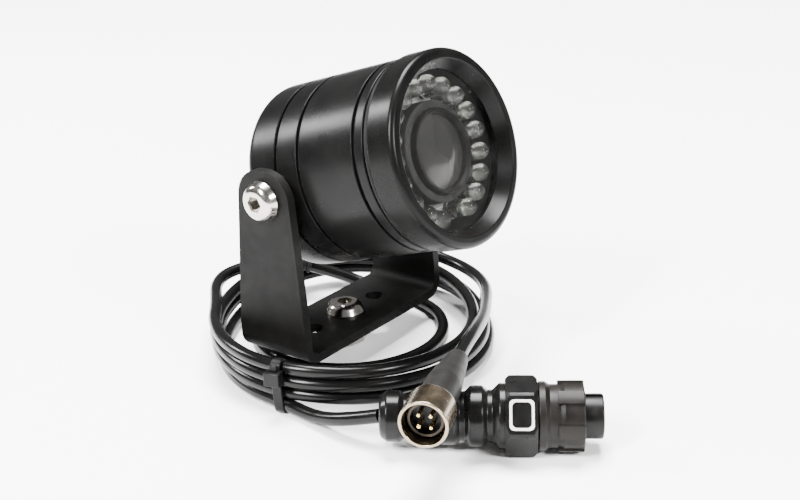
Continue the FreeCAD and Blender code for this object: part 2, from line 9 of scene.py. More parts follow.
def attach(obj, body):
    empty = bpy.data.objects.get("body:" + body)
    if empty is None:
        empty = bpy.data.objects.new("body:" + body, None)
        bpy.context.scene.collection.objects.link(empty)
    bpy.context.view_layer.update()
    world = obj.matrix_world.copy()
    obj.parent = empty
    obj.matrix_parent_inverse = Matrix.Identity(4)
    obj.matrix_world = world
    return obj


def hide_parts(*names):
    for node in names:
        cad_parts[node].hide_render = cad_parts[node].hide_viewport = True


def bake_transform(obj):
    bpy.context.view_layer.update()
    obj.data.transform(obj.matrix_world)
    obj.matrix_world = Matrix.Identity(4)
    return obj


# A bullet backup camera on a tilting U-bracket, with its own tied pigtail and two connectors.
# Everything is in metres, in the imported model's frame: +Z up, X along the tilt axis, lens towards -Y.

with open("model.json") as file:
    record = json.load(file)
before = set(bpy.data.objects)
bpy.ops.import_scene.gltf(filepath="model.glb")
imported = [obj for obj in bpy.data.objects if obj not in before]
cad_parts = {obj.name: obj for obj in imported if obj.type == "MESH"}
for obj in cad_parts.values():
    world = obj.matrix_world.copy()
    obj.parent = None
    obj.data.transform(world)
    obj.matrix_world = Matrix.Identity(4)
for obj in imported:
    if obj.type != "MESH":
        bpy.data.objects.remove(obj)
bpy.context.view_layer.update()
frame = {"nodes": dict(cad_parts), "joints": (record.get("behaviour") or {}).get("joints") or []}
nodes = frame["nodes"]
joints = {joint["name"]: joint for joint in frame["joints"]}

# ---------------------------------------------------------------- places taken from the frame
PIVOT = Vector(joints["camera_tilt"]["pos_m"])
PLUG_START = Vector(joints["plug_ring_turn"]["pos_m"])
PLUG_AXIS = Vector(joints["plug_ring_turn"]["axis"])
BRANCH_START = Vector(joints["branch_nut_turn"]["pos_m"])
REST_TILT = math.radians(17.5)
LENS_AXIS = Vector((0, -math.cos(REST_TILT), math.sin(REST_TILT)))

# Turned pieces are drawn along +X, and these matrices point that the right way.
NOSE_UP = Matrix.Rotation(-REST_TILT, 4, "X")
IN_CAMERA = Matrix.Translation(PIVOT) @ NOSE_UP @ Matrix.Rotation(-math.pi / 2, 4, "Z")
ON_PLUG = Matrix.Translation(PLUG_START) @ PLUG_AXIS.to_track_quat("X", "Z").to_matrix().to_4x4()

# ---------------------------------------------------------------- cable sizes and routes
CABLE_DIAMETER = 0.0035
CABLE_RADIUS = CABLE_DIAMETER / 2
GLAND_EXIT = PIVOT - LENS_AXIS * 0.021
TEE_CENTRE = Vector((0.0130, 0.0357, 0.0138))
TEE_ENTRY = Vector((0.0189, 0.0290, 0.0106))
TEE_BAR_ANGLE = math.radians(160)
TEE_HALF_LENGTH = 0.008
TEE_BAR_ROOT = 0.0031
TEE_BAR_TIP = 0.0025
TEE_LEG_ROOT = 0.0026
TEE_LEG_TIP = 0.0023

TRUNK_DROP = [
    (0.0, 0.0284, 0.04255),
    (0.0010, 0.0346, 0.0373),
    (0.0032, 0.0376, 0.0298),
    (0.0046, 0.0364, 0.0208),
    (0.0030, 0.0330, 0.0128),
    (-0.0030, 0.0302, 0.0062),
]
INNER_LOOP_CENTRE = Vector((0.0050, 0.0025, CABLE_RADIUS))
INNER_LOOP_RADIUS = 0.0274
INNER_LOOP_FIRST = math.radians(120)
INNER_LOOP_STEP = math.radians(26.2)
INNER_LOOP_POINTS = 10
TRUNK_RISE = [
    (0.0306, 0.0085, 0.0022),
    (0.0286, 0.0160, 0.0044),
    (0.0244, 0.0228, 0.0076),
]
PLUG_LEAD_START = [
    (0.0055, 0.0384, 0.0138),
    (-0.0025, 0.0410, 0.0142),
    (-0.0115, 0.0396, 0.0134),
]
PLUG_LEAD_TAIL = [
    (-0.0422, -0.0240, 0.0021),
    (-0.0434, -0.0350, 0.0052),
    tuple(PLUG_START),
]
BRANCH_ROUTE = [
    (0.0205, 0.0330, 0.0138),
    (0.0275, 0.0304, 0.0152),
    (0.0365, 0.0232, 0.0150),
    (0.0436, 0.0120, 0.0130),
    (0.0458, -0.0010, 0.0108),
    (0.0432, -0.0135, 0.0101),
    (0.0350, -0.0245, 0.0108),
    (0.0225, -0.0330, 0.0126),
    (0.0070, -0.0423, 0.0156),
    (-0.0080, -0.0493, 0.0186),
    (-0.0170, -0.0527, 0.0195),
    tuple(BRANCH_START),
]

# Each turn of the tied coil: how far out and how high it is at the tie, then how far out it fans and
# how low it sinks away from the tie, and how far it leans to one side.
TIE_ANGLE = math.radians(197)
COIL_TURNS = [
    (0.0, 0.01330, 0.0003, 0.0091, 0.0),
    (0.0, 0.00975, 0.0036, 0.0057, 0.0010),
    (-0.0006, 0.00620, 0.0056, 0.0022, 0.0012),
    (-0.0012, 0.00262, 0.0034, 0.0018, 0.0020),
]
COIL_RADIUS = 0.0397
COIL_OVAL = 0.0036
COIL_LONG_AXIS = math.radians(217)
COIL_SHIFT = 0.0020
COIL_SHIFT_ANGLE = math.radians(217)
COIL_LOW_ANGLE = math.radians(315)
COIL_FIRST = math.radians(128)
COIL_LAST = math.radians(1278)
COIL_POINTS = 58
TURN_CHANGE = math.radians(105)
CHANGE_START = math.radians(280)
CHANGE_LENGTH = math.radians(80)


# ---------------------------------------------------------------- shape helpers
def add_object(name, data):
    """Link a new object that holds this mesh or curve."""
    made = bpy.data.objects.new(name, data)
    bpy.context.scene.collection.objects.link(made)
    return made


def add_piece(name, shape, body, sharp=35.0):
    """Turn a bmesh into a smooth-shaded piece that rides on a body."""
    bmesh.ops.remove_doubles(shape, verts=shape.verts, dist=1e-6)
    bmesh.ops.recalc_face_normals(shape, faces=shape.faces)
    mesh = bpy.data.meshes.new(name)
    shape.to_mesh(mesh)
    shape.free()
    mesh.polygons.foreach_set("use_smooth", [True] * len(mesh.polygons))
    mesh.set_sharp_from_angle(angle=math.radians(sharp))
    piece = add_object(name, mesh)
    if body is not None:
        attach(piece, body)
    return piece


def rounded(corners, segments=4):
    """Outline points, with each corner (a, b, radius) turned into an arc."""
    outline = []
    for index, (a, b, radius) in enumerate(corners):
        place = Vector((a, b))
        before = (Vector(corners[index - 1][:2]) - place).normalized()
        after = (Vector(corners[(index + 1) % len(corners)][:2]) - place).normalized()
        half = before.angle(after) / 2
        centre = place + (before + after).normalized() * (radius / math.sin(half))
        first = place + before * (radius / math.tan(half)) - centre
        last = place + after * (radius / math.tan(half)) - centre
        for step in range(segments + 1):
            share = step / segments
            outline.append(centre + first.lerp(last, share).normalized() * radius)
    return outline


def turn(shape, profile, placement, steps=48, flutes=0, flute_depth=0.0, grip=(0.0, 0.0)):
    """Add a solid of revolution about local +X, fluted where its stations lie within the grip."""
    rings = []
    for station, radius in profile:
        if radius < 1e-7:
            rings.append([shape.verts.new(placement @ Vector((station, 0, 0)))])
            continue
        depth = flute_depth if grip[0] <= station <= grip[1] else 0.0
        ring = []
        for step in range(steps):
            angle = 2 * math.pi * step / steps
            reach = radius - depth * (0.5 - 0.5 * math.cos(flutes * angle)) ** 2
            local = Vector((station, reach * math.cos(angle), reach * math.sin(angle)))
            ring.append(shape.verts.new(placement @ local))
        rings.append(ring)
    for ring, following in zip(rings, rings[1:] + rings[:1]):
        bridge(shape, ring, following)


def bridge(shape, ring, following):
    """Faces between two rings, either of which may be a single point."""
    count = max(len(ring), len(following))
    if count == 1:
        return
    for step in range(count):
        after = (step + 1) % count
        corners = [ring[step % len(ring)], ring[after % len(ring)]]
        corners += [following[after % len(following)], following[step % len(following)]]
        face = list(dict.fromkeys(corners))
        shape.faces.new(face)


def block(shape, low, high, placement):
    """Add a box between two local corners."""
    middle = (Vector(low) + Vector(high)) / 2
    size = Vector(high) - Vector(low)
    stretch = Matrix.Diagonal((*size, 1.0))
    bmesh.ops.create_cube(shape, size=1.0, matrix=placement @ Matrix.Translation(middle) @ stretch)


def nurbs(name, points, radius=0.0):
    """A smooth NURBS curve with these control points, round in section if it has a radius."""
    curve = bpy.data.curves.new(name, "CURVE")
    curve.dimensions = "3D"
    curve.resolution_u = 10
    curve.bevel_depth = radius
    curve.bevel_resolution = 5
    curve.use_fill_caps = True
    spline = curve.splines.new("NURBS")
    spline.points.add(len(points) - 1)
    for control, place in zip(spline.points, points):
        control.co = (*place, 1.0)
    spline.order_u = 3
    spline.use_endpoint_u = True
    return add_object(name, curve)


def follow(points):
    """Places along the NURBS curve with these control points."""
    guide = nurbs("guide", points)
    evaluated = guide.evaluated_get(bpy.context.evaluated_depsgraph_get())
    mesh = bpy.data.meshes.new_from_object(evaluated)
    places = [vertex.co.copy() for vertex in mesh.vertices]
    bpy.data.meshes.remove(mesh)
    bpy.data.objects.remove(guide)
    return places


def path_length(places):
    """Length of the line through these places."""
    return sum((after - before).length for before, after in zip(places, places[1:]))


def sweep(shape, places, outline, closed=False, across=None):
    """Sweep an outline along places, keeping its first axis near the across direction."""
    rings = []
    count = len(places)
    side = across or (places[1] - places[0]).orthogonal()
    for index, place in enumerate(places):
        before = places[index - 1] if closed or index > 0 else place
        after = places[(index + 1) % count] if closed or index < count - 1 else place
        along = (after - before).normalized()
        side = ((across or side) - along * along.dot(across or side)).normalized()
        other = along.cross(side)
        rings.append([shape.verts.new(place + side * a + other * b) for a, b in outline])
    pairs = list(zip(rings, rings[1:] + rings[:1])) if closed else list(zip(rings, rings[1:]))
    for ring, following in pairs:
        bridge(shape, ring, following)
    if not closed:
        shape.faces.new(rings[0][::-1])
        shape.faces.new(rings[-1])


def circle(radius, steps):
    """Outline of a circle."""
    angles = [2 * math.pi * step / steps for step in range(steps)]
    return [(radius * math.cos(angle), radius * math.sin(angle)) for angle in angles]


def smoothstep(share):
    """Smooth rise from 0 to 1."""
    share = min(1.0, max(0.0, share))
    return share * share * (3 - 2 * share)


# ---------------------------------------------------------------- materials
BLACK = (0.0018, 0.0018, 0.0018)
SOOT = (0.0040, 0.0038, 0.0036)
GLASS_IOR = 1.5


class Paint:
    """A node-based material whose patterns are in the piece's own frame, in metres."""

    def __init__(self, name):
        self.material = bpy.data.materials.new(name)
        self.material.use_nodes = True
        self.tree = self.material.node_tree
        self.shader = self.tree.nodes["Principled BSDF"]
        self.place = self.node("ShaderNodeTexCoord").outputs["Object"]

    def node(self, kind, **settings):
        """Add a node and set its properties."""
        made = self.tree.nodes.new(kind)
        for key, value in settings.items():
            setattr(made, key, value)
        return made

    def link(self, source, target):
        self.tree.links.new(source, target)

    def noise(self, size, detail=4.0, stretch=(1, 1, 1)):
        """Noise whose patches are about this wide, longer along the axes that stretch names."""
        mapping = self.node("ShaderNodeMapping")
        self.link(self.place, mapping.inputs["Vector"])
        mapping.inputs["Scale"].default_value = [1 / s for s in stretch]
        texture = self.node("ShaderNodeTexNoise")
        texture.inputs["Scale"].default_value = 1 / size
        texture.inputs["Detail"].default_value = detail
        self.link(mapping.outputs["Vector"], texture.inputs["Vector"])
        return texture.outputs["Fac"]

    def lines(self, axis, width):
        """Fine lines across an axis, such as a lathe leaves."""
        dot = self.node("ShaderNodeVectorMath", operation="DOT_PRODUCT")
        self.link(self.place, dot.inputs[0])
        dot.inputs[1].default_value = axis
        texture = self.node("ShaderNodeTexNoise", noise_dimensions="1D")
        texture.inputs["Scale"].default_value = 1 / width
        texture.inputs["Detail"].default_value = 3.0
        self.link(dot.outputs["Value"], texture.inputs["W"])
        return texture.outputs["Fac"]

    def spread(self, value, low, high):
        """Remap the middle of a noise to the range from low to high."""
        span = self.node("ShaderNodeMapRange")
        span.inputs["From Min"].default_value = 0.3
        span.inputs["From Max"].default_value = 0.7
        span.inputs["To Min"].default_value = low
        span.inputs["To Max"].default_value = high
        self.link(value, span.inputs["Value"])
        return span.outputs["Result"]

    def colour(self, dark, light, mask):
        """Colour that runs from dark to light with a mask."""
        ramp = self.node("ShaderNodeValToRGB")
        ramp.color_ramp.elements[0].position = 0.3
        ramp.color_ramp.elements[0].color = (*dark, 1)
        ramp.color_ramp.elements[1].position = 0.7
        ramp.color_ramp.elements[1].color = (*light, 1)
        self.link(mask, ramp.inputs["Fac"])
        self.link(ramp.outputs["Color"], self.shader.inputs["Base Color"])

    def roughness(self, mask, low, high):
        self.link(self.spread(mask, low, high), self.shader.inputs["Roughness"])

    def relief(self, *layers):
        """Bump from (height, depth in metres) layers."""
        normal = None
        for height, depth in layers:
            bump = self.node("ShaderNodeBump")
            bump.inputs["Strength"].default_value = 1.0
            bump.inputs["Distance"].default_value = depth
            self.link(height, bump.inputs["Height"])
            if normal is not None:
                self.link(normal, bump.inputs["Normal"])
            normal = bump.outputs["Normal"]
        self.link(normal, self.shader.inputs["Normal"])

    def set(self, **values):
        """Set plain shader values, with spaces in their names as underscores."""
        for key, value in values.items():
            self.shader.inputs[key.replace("_", " ")].default_value = value


def housing_black():
    """Satin black anodised aluminium with turning lines."""
    paint = Paint("housing_black")
    paint.colour(BLACK, (0.0040, 0.0039, 0.0038), paint.noise(0.009, 5))
    paint.roughness(paint.noise(0.008, 2), 0.26, 0.32)
    paint.relief((paint.lines(LENS_AXIS, 0.00016), 1.6e-6), (paint.noise(0.00025), 2.5e-6))
    paint.set(Specular_IOR_Level=0.07)
    return paint.material


def ring_black():
    """The front ring's anodising, a little smoother than the barrel's."""
    paint = Paint("ring_black")
    paint.colour(BLACK, (0.0038, 0.0037, 0.0035), paint.noise(0.007, 5))
    paint.roughness(paint.noise(0.012, 2), 0.25, 0.29)
    paint.relief((paint.lines(LENS_AXIS, 0.0002), 1.0e-6), (paint.noise(0.0003), 0.5e-6))
    paint.set(Specular_IOR_Level=0.07)
    return paint.material


def bracket_black():
    """Matte black powder coat with its orange-peel texture."""
    paint = Paint("bracket_black")
    paint.colour((0.0018, 0.0018, 0.0017), (0.0045, 0.0043, 0.0040), paint.noise(0.012, 6))
    paint.roughness(paint.noise(0.003), 0.48, 0.62)
    paint.relief((paint.noise(0.0009, 2), 1.6e-5), (paint.noise(0.0002), 4e-6))
    paint.set(Specular_IOR_Level=0.07)
    return paint.material


def stainless():
    """Stainless steel with a soft grain and faint handling marks."""
    paint = Paint("stainless")
    paint.colour((0.36, 0.34, 0.31), (0.50, 0.48, 0.44), paint.noise(0.002, 5))
    paint.roughness(paint.noise(0.0012, 5), 0.10, 0.22)
    paint.relief((paint.noise(0.00015, 5), 3e-6))
    paint.set(Metallic=1.0)
    return paint.material


def clear(name, low, high, tint):
    """Clear plastic or glass that lets the lamps' light through to what is behind it."""
    paint = Paint(name)
    glass = paint.node("ShaderNodeBsdfGlass")
    glass.inputs["Color"].default_value = (*tint, 1)
    glass.inputs["IOR"].default_value = GLASS_IOR
    paint.link(paint.spread(paint.noise(0.003), low, high), glass.inputs["Roughness"])
    through = paint.node("ShaderNodeBsdfTransparent")
    through.inputs["Color"].default_value = (*tint, 1)
    path = paint.node("ShaderNodeLightPath")
    mix = paint.node("ShaderNodeMixShader")
    paint.link(path.outputs["Is Shadow Ray"], mix.inputs["Fac"])
    paint.link(glass.outputs["BSDF"], mix.inputs[1])
    paint.link(through.outputs["BSDF"], mix.inputs[2])
    output = paint.tree.nodes["Material Output"]
    paint.link(mix.outputs["Shader"], output.inputs["Surface"])
    paint.tree.nodes.remove(paint.shader)
    return paint.material


def lens_glass():
    """Dark coated lens glass."""
    paint = Paint("lens_glass")
    paint.colour((0.012, 0.012, 0.012), (0.026, 0.025, 0.025), paint.noise(0.012, 1))
    paint.roughness(paint.noise(0.006), 0.10, 0.18)
    paint.set(Specular_IOR_Level=0.35)
    return paint.material


def plain_plastic(name, dark, light, rough_low, rough_high, patch=0.006, grain=0.0003, depth=3e-6):
    """Moulded plastic or rubber: mottled colour, uneven gloss and a fine grain."""
    paint = Paint(name)
    paint.colour(dark, light, paint.noise(patch, 5))
    paint.roughness(paint.noise(patch / 2), rough_low, rough_high)
    paint.relief((paint.noise(grain), depth))
    paint.set(Specular_IOR_Level=0.12)
    return paint


def metal(name, dark, light, rough_low, rough_high, patch=0.002):
    """Plated or bare metal."""
    paint = plain_plastic(name, dark, light, rough_low, rough_high, patch, 0.0002, 2e-6)
    paint.set(Metallic=1.0, Specular_IOR_Level=0.5)
    return paint.material


def circuit_board(name, dark, light):
    """Solder mask over faint copper tracks."""
    paint = Paint(name)
    tracks = paint.node("ShaderNodeTexBrick")
    paint.link(paint.place, tracks.inputs["Vector"])
    tracks.inputs["Scale"].default_value = 500
    tracks.inputs["Mortar Size"].default_value = 0.03
    tracks.inputs["Color1"].default_value = (*dark, 1)
    tracks.inputs["Color2"].default_value = (*dark, 1)
    tracks.inputs["Mortar"].default_value = (*light, 1)
    paint.link(tracks.outputs["Color"], paint.shader.inputs["Base Color"])
    paint.roughness(paint.noise(0.004), 0.3, 0.45)
    paint.relief((tracks.outputs["Fac"], 1e-5))
    return paint.material


def cable_black():
    """Glossy black PVC sheath with slight waviness and scuffs."""
    paint = Paint("cable_black")
    paint.colour(BLACK, (0.0036, 0.0035, 0.0033), paint.noise(0.010, 5))
    paint.roughness(paint.noise(0.012, 2), 0.20, 0.26)
    paint.relief((paint.noise(0.010, 1), 1.0e-5), (paint.noise(0.001, 2), 0.4e-6))
    paint.set(Specular_IOR_Level=0.14)
    return paint.material


def plastic(name, dark, light, low, high, **detail):
    """A plain plastic's material."""
    return plain_plastic(name, dark, light, low, high, **detail).material


def paint_nodes():
    """Give every CAD node its material."""
    black_screw = plastic("board_screw_black", (0.03, 0.03, 0.03), (0.06, 0.06, 0.06), 0.3, 0.4)
    finishes = [
        (housing_black(), ["barrel_housing"]),
        (ring_black(), ["front_ring"]),
        (bracket_black(), ["mounting_bracket"]),
        (stainless(), ["base_bolt", "base_nut", "pivot_screws", "pivot_spacers"]),
        (clear("clear_window", 0.0, 0.012, (0.90, 0.90, 0.89)), ["front_window"]),
        (lens_glass(), ["lens_front_element", "lens_rear_element"]),
        # The LED board's pale grey is partly its own colour and partly painted light: it is lightened to
        # stand in for light on the shaded ring between the lamps.
        (circuit_board("board_green", (0.150, 0.155, 0.148), (0.30, 0.31, 0.29)), ["led_board"]),
        (circuit_board("sensor_green", (0.008, 0.040, 0.020), (0.030, 0.10, 0.050)), ["sensor_board"]),
        (plastic("seal_rubber", BLACK, SOOT, 0.5, 0.7), ["ring_seal", "window_seal", "gland_seal"]),
        (plastic("baffle_foam", (0.008, 0.008, 0.008), (0.02, 0.02, 0.02), 0.8, 0.95, grain=0.0005,
                 depth=8e-5), ["light_baffle"]),
        (plastic("lens_black", BLACK, SOOT, 0.35, 0.5), ["lens_barrel", "lens_holder"]),
        (plastic("chip", (0.02, 0.02, 0.022), (0.035, 0.035, 0.04), 0.25, 0.4), ["image_sensor"]),
        (plastic("photocell", (0.030, 0.013, 0.009), (0.055, 0.023, 0.016), 0.2, 0.35), ["photocell"]),
        (metal("brass", (0.50, 0.36, 0.14), (0.66, 0.49, 0.22), 0.2, 0.35),
         ["board_standoffs", "gland_locknut"]),
        (black_screw, ["board_screws"]),
        (plastic("header_white", (0.55, 0.54, 0.50), (0.68, 0.67, 0.63), 0.4, 0.5),
         ["board_header", "header_plug"]),
        (plastic("gland_black", BLACK, SOOT, 0.4, 0.55), ["gland_body", "gland_nut"]),
        (cable_black(), ["inner_lead"]),
        (plastic("overmould_grey", (0.0042, 0.0040, 0.0037), (0.0080, 0.0076, 0.0070), 0.46, 0.58,
                 grain=0.0005, depth=1e-5), ["branch_overmould"]),
        (plastic("boot_black", BLACK, SOOT, 0.16, 0.30), ["plug_boot"]),
        (plastic("plug_black", BLACK, SOOT, 0.26, 0.40), ["plug_backshell", "plug_shell", "plug_insert",
                                                           "branch_insert"]),
        (plastic("collar_dark", (0.0026, 0.0022, 0.0018), (0.0062, 0.0052, 0.0042), 0.36, 0.48, grain=0.0004,
                 depth=1e-5), ["plug_coupling_ring"]),
        (metal("nickel", (0.22, 0.175, 0.12), (0.30, 0.24, 0.17), 0.20, 0.28, patch=0.006),
         ["branch_coupling_nut"]),
        # The shell's nickel is painted near black, as painted shade for the hollow inside the coupling nut.
        (metal("nickel_painted_hollow_shade", (0.020, 0.018, 0.015), (0.035, 0.030, 0.024), 0.30, 0.40), ["branch_shell"]),
        (metal("gold_pin", (0.50, 0.35, 0.13), (0.62, 0.45, 0.19), 0.2, 0.3), ["plug_pins", "branch_pins"]),
    ]
    for material, names in finishes:
        for name in names:
            dress(nodes[name], material)


def dress(piece, material):
    """Give a piece one material."""
    slots = piece.data.materials
    if len(slots) == 0:
        slots.append(material)
    for index in range(len(slots)):
        slots[index] = material


# ---------------------------------------------------------------- pigtail
def trunk_route():
    """Control points of the trunk lead, from the gland, round the bracket's foot, to the tee."""
    points = [tuple(GLAND_EXIT)] + TRUNK_DROP
    for step in range(INNER_LOOP_POINTS):
        angle = INNER_LOOP_FIRST + INNER_LOOP_STEP * step
        arm = Vector((math.cos(angle), math.sin(angle), 0)) * INNER_LOOP_RADIUS
        points.append(tuple(INNER_LOOP_CENTRE + arm))
    return points + TRUNK_RISE + [tuple(TEE_ENTRY)]


def turn_state(index, angle):
    """Radius and height of one coil turn at an angle."""
    out_at_tie, high, out_away, low, lean = COIL_TURNS[index]
    oval = COIL_RADIUS + COIL_OVAL * math.cos(2 * (angle - COIL_LONG_AXIS))
    oval += COIL_SHIFT * math.cos(angle - COIL_SHIFT_ANGLE)
    away = (1 - math.cos(angle - TIE_ANGLE)) / 2
    sunk = ((1 + math.cos(angle - COIL_LOW_ANGLE)) / 2) ** 2
    radius = oval + out_at_tie + (out_away - out_at_tie) * away + lean * math.sin(angle - TIE_ANGLE)
    return radius, high + (low - high) * sunk


def coil_points():
    """Control points of the tied turns, wound downwards and fanning out away from the tie."""
    points = []
    last_turn = len(COIL_TURNS) - 1
    for step in range(COIL_POINTS + 1):
        angle = COIL_FIRST + (COIL_LAST - COIL_FIRST) * step / COIL_POINTS
        turn_index = math.floor((angle - TURN_CHANGE) / (2 * math.pi))
        past = angle - TURN_CHANGE - 2 * math.pi * turn_index
        share = smoothstep((past - CHANGE_START) / CHANGE_LENGTH)
        radius, height = turn_state(min(turn_index, last_turn), angle)
        next_radius, next_height = turn_state(min(turn_index + 1, last_turn), angle)
        radius += (next_radius - radius) * share
        height += (next_height - height) * share
        points.append((radius * math.cos(angle), radius * math.sin(angle), height))
    return points


def trunk_lead(material):
    """The lead from the gland to the tee."""
    places = follow(trunk_route())
    shape = bmesh.new()
    sweep(shape, places, circle(CABLE_RADIUS, 16))
    piece = add_piece("trunk_cable", shape, None)
    dress(piece, material)
    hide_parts("trunk_lead")
    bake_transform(piece)
    path_length(places)
    [tuple(p) for p in places]


def free_lead(name, points, replaced, material):
    """A lead that lies still, as a round NURBS curve."""
    length = path_length(follow(points))
    piece = nurbs(name, points, CABLE_RADIUS)
    dress(piece, material)
    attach(piece, "bracket")
    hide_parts(*replaced)
    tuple(points[0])


def strain_relief_profile(length, root, tip):
    """Half of a moulded grip: a smooth root that steps down in rings to its tip."""
    profile = [(0.0, root)]
    rings = 3
    groove = 0.0004
    pitch = length * 0.6 / rings
    start = length - rings * pitch
    profile.append((start, root))
    for ring in range(rings):
        share = (ring + 1) / rings
        crest = root + (tip - root) * share
        station = start + ring * pitch
        profile += [(station + pitch * 0.10, crest - groove), (station + pitch * 0.40, crest - groove)]
        profile += [(station + pitch * 0.50, crest), (station + pitch, crest)]
    return profile + [(length, 0.0)]


def split_tee():
    """Moulded tee where the trunk lead splits, with ringed grips on its three ends."""
    shape = bmesh.new()
    bar = Matrix.Translation(TEE_CENTRE) @ Matrix.Rotation(TEE_BAR_ANGLE, 4, "Z")
    half = strain_relief_profile(TEE_HALF_LENGTH, TEE_BAR_ROOT, TEE_BAR_TIP)
    other_half = [(-station, radius) for station, radius in half[1:]]
    turn(shape, other_half[::-1] + half, bar, 32)
    leg_shape = bmesh.new()
    to_leg = TEE_ENTRY - TEE_CENTRE
    leg = Matrix.Translation(TEE_CENTRE) @ to_leg.to_track_quat("X", "Z").to_matrix().to_4x4()
    leg_profile = strain_relief_profile(to_leg.length, TEE_LEG_ROOT, TEE_LEG_TIP)
    turn(leg_shape, [(0.0, 0.0)] + leg_profile, leg, 32)
    tee = add_piece("split_tee", shape, None)
    leg_piece = add_piece("split_tee_leg", leg_shape, None)
    join = tee.modifiers.new("join", "BOOLEAN")
    join.operation = "UNION"
    join.object = leg_piece
    apply_modifiers(tee)
    bpy.data.objects.remove(leg_piece)
    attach(tee, "bracket")
    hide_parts("lead_tee")
    return tee


def apply_modifiers(piece):
    """Replace a piece's mesh by what its modifiers make of it."""
    evaluated = piece.evaluated_get(bpy.context.evaluated_depsgraph_get())
    mesh = bpy.data.meshes.new_from_object(evaluated)
    piece.modifiers.clear()
    piece.data = mesh


def cable_tie(material):
    """Nylon tie pulled round the four stacked strands, with its head outside and a short tail."""
    thickness = 0.0008
    half_width = 0.0013
    head_half_width = 0.0021
    head_depth = 0.0030
    head_foot = 0.0098
    head_top = 0.0134
    tail_top = 0.0152
    hug = CABLE_RADIUS + thickness / 2 + 0.00005
    top_radius, top_height = turn_state(0, TIE_ANGLE)
    low_radius, low_height = turn_state(3, TIE_ANGLE)
    places = []
    for centre, height, first in ((top_radius, top_height, 0.0), (low_radius, low_height, math.pi)):
        for step in range(9):
            angle = first + math.pi * step / 8
            lift = max(height + hug * math.sin(angle), thickness / 2)
            places.append((centre + hug * math.cos(angle), lift))
    outward = Vector((math.cos(TIE_ANGLE), math.sin(TIE_ANGLE), 0))
    tangent = Vector((-outward.y, outward.x, 0))
    loop = [outward * a + Vector((0, 0, b)) for a, b in places]
    shape = bmesh.new()
    band = [(-half_width, -thickness / 2), (half_width, -thickness / 2),
            (half_width, thickness / 2), (-half_width, thickness / 2)]
    sweep(shape, loop, band, closed=True, across=tangent)
    upright = Matrix((outward, tangent, Vector((0, 0, 1)))).transposed().to_4x4()
    head_low = top_radius + CABLE_RADIUS
    head_end = head_low + head_depth
    block(shape, (head_low, -head_half_width, head_foot), (head_end, head_half_width, head_top), upright)
    tail = half_width * 0.8
    tail_low = head_low + thickness
    block(shape, (tail_low, -tail, head_top), (tail_low + thickness, tail, tail_top), upright)
    tie = add_piece("tie_band", shape, "bracket")
    soften = tie.modifiers.new("soften", "BEVEL")
    soften.width = 0.0002
    soften.segments = 2
    soften.limit_method = "ANGLE"
    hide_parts("cable_tie")
    dress(tie, material)


def gland_grip(material):
    """The gland's dome nut with its finger flutes and its tapered nose round the lead."""
    front, seat, nose = -0.0132, -0.0182, -0.0210
    low, high = -0.0176, -0.0142
    crown, bore = 0.0066, 0.0042
    flutes, flute_depth = 18, 0.0007
    outside = [(front, 0.0062), (front - 0.0004, crown), (high, crown), (high - 0.0004, crown),
               (low + 0.0004, 0.0065), (low, 0.0064), (low - 0.0002, 0.0062), (-0.0190, 0.0052),
               (-0.0202, 0.0040), (-0.0207, 0.0032), (nose, 0.0027), (nose, CABLE_RADIUS)]
    inside = [(seat, CABLE_RADIUS), (seat, bore), (front, bore)]
    shape = bmesh.new()
    turn(shape, outside + inside, IN_CAMERA, 8 * flutes, flutes, flute_depth, (low, high - 0.0002))
    piece = add_piece("gland_grip", shape, "camera", 50)
    dress(piece, material)
    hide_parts("gland_nut")


# ---------------------------------------------------------------- lights behind the window
# The places on the circle, one of which is the light sensor's.
LED_COUNT = 19
LED_CIRCLE = 0.0174
LED_BOARD_FACE = 0.0266
LED_TIP = 0.0372
LAMP_LENGTH = 0.0086


def lamp_places():
    """Placement of each lamp on its circle, leaving out the bottom place."""
    places = []
    for step in range(1, LED_COUNT):
        angle = -math.pi / 2 + 2 * math.pi * step / LED_COUNT
        out = Vector((0, math.cos(angle), math.sin(angle))) * LED_CIRCLE
        spin = Matrix.Rotation(angle, 4, "X")
        places.append(IN_CAMERA @ Matrix.Translation(out) @ spin)
    return places


def infrared_lamps(silver, die):
    """Clear domed lamps, each with a reflector cup on its post, a die and a second post."""
    domes = bmesh.new()
    cups = bmesh.new()
    dies = bmesh.new()
    body = 0.00235
    rim = 0.0027
    flange = LED_TIP - LAMP_LENGTH
    dome_start = LED_TIP - body
    dome = [(flange, 0.0), (flange, rim), (flange + 0.0009, rim), (flange + 0.0010, body)]
    for step in range(9):
        angle = math.pi / 2 * step / 8
        dome.append((dome_start + body * math.sin(angle), body * math.cos(angle)))
    dome[-1] = (LED_TIP, 0.0)
    cup_floor = flange + 0.0038
    cup_rim = cup_floor + 0.0014
    cup_foot = cup_floor - 0.0006
    cup = [(cup_foot, 0.0), (cup_foot, 0.0010), (cup_rim, 0.00215),
           (cup_rim, 0.0020), (cup_floor, 0.0007), (cup_floor, 0.0)]
    half = 0.0003
    for placement in lamp_places():
        turn(domes, dome, placement, 28)
        turn(cups, cup, placement, 24)
        block(cups, (LED_BOARD_FACE, -0.0007, -half), (cup_floor - 0.0005, 0.0007, half), placement)
        block(cups, (LED_BOARD_FACE, 0.0013, -half), (cup_floor - 0.0012, 0.0017, half), placement)
        block(dies, (cup_floor, -half, -half), (cup_floor + half, half, half), placement)
    dome_piece = add_piece("lamp_domes", domes, "camera", 60)
    dress(dome_piece, clear("led_clear", 0.0, 0.03, (0.96, 0.97, 0.98)))
    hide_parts("infrared_leds")
    dress(add_piece("lamp_cups", cups, "camera"), silver)
    dress(add_piece("lamp_dies", dies, "camera"), die)


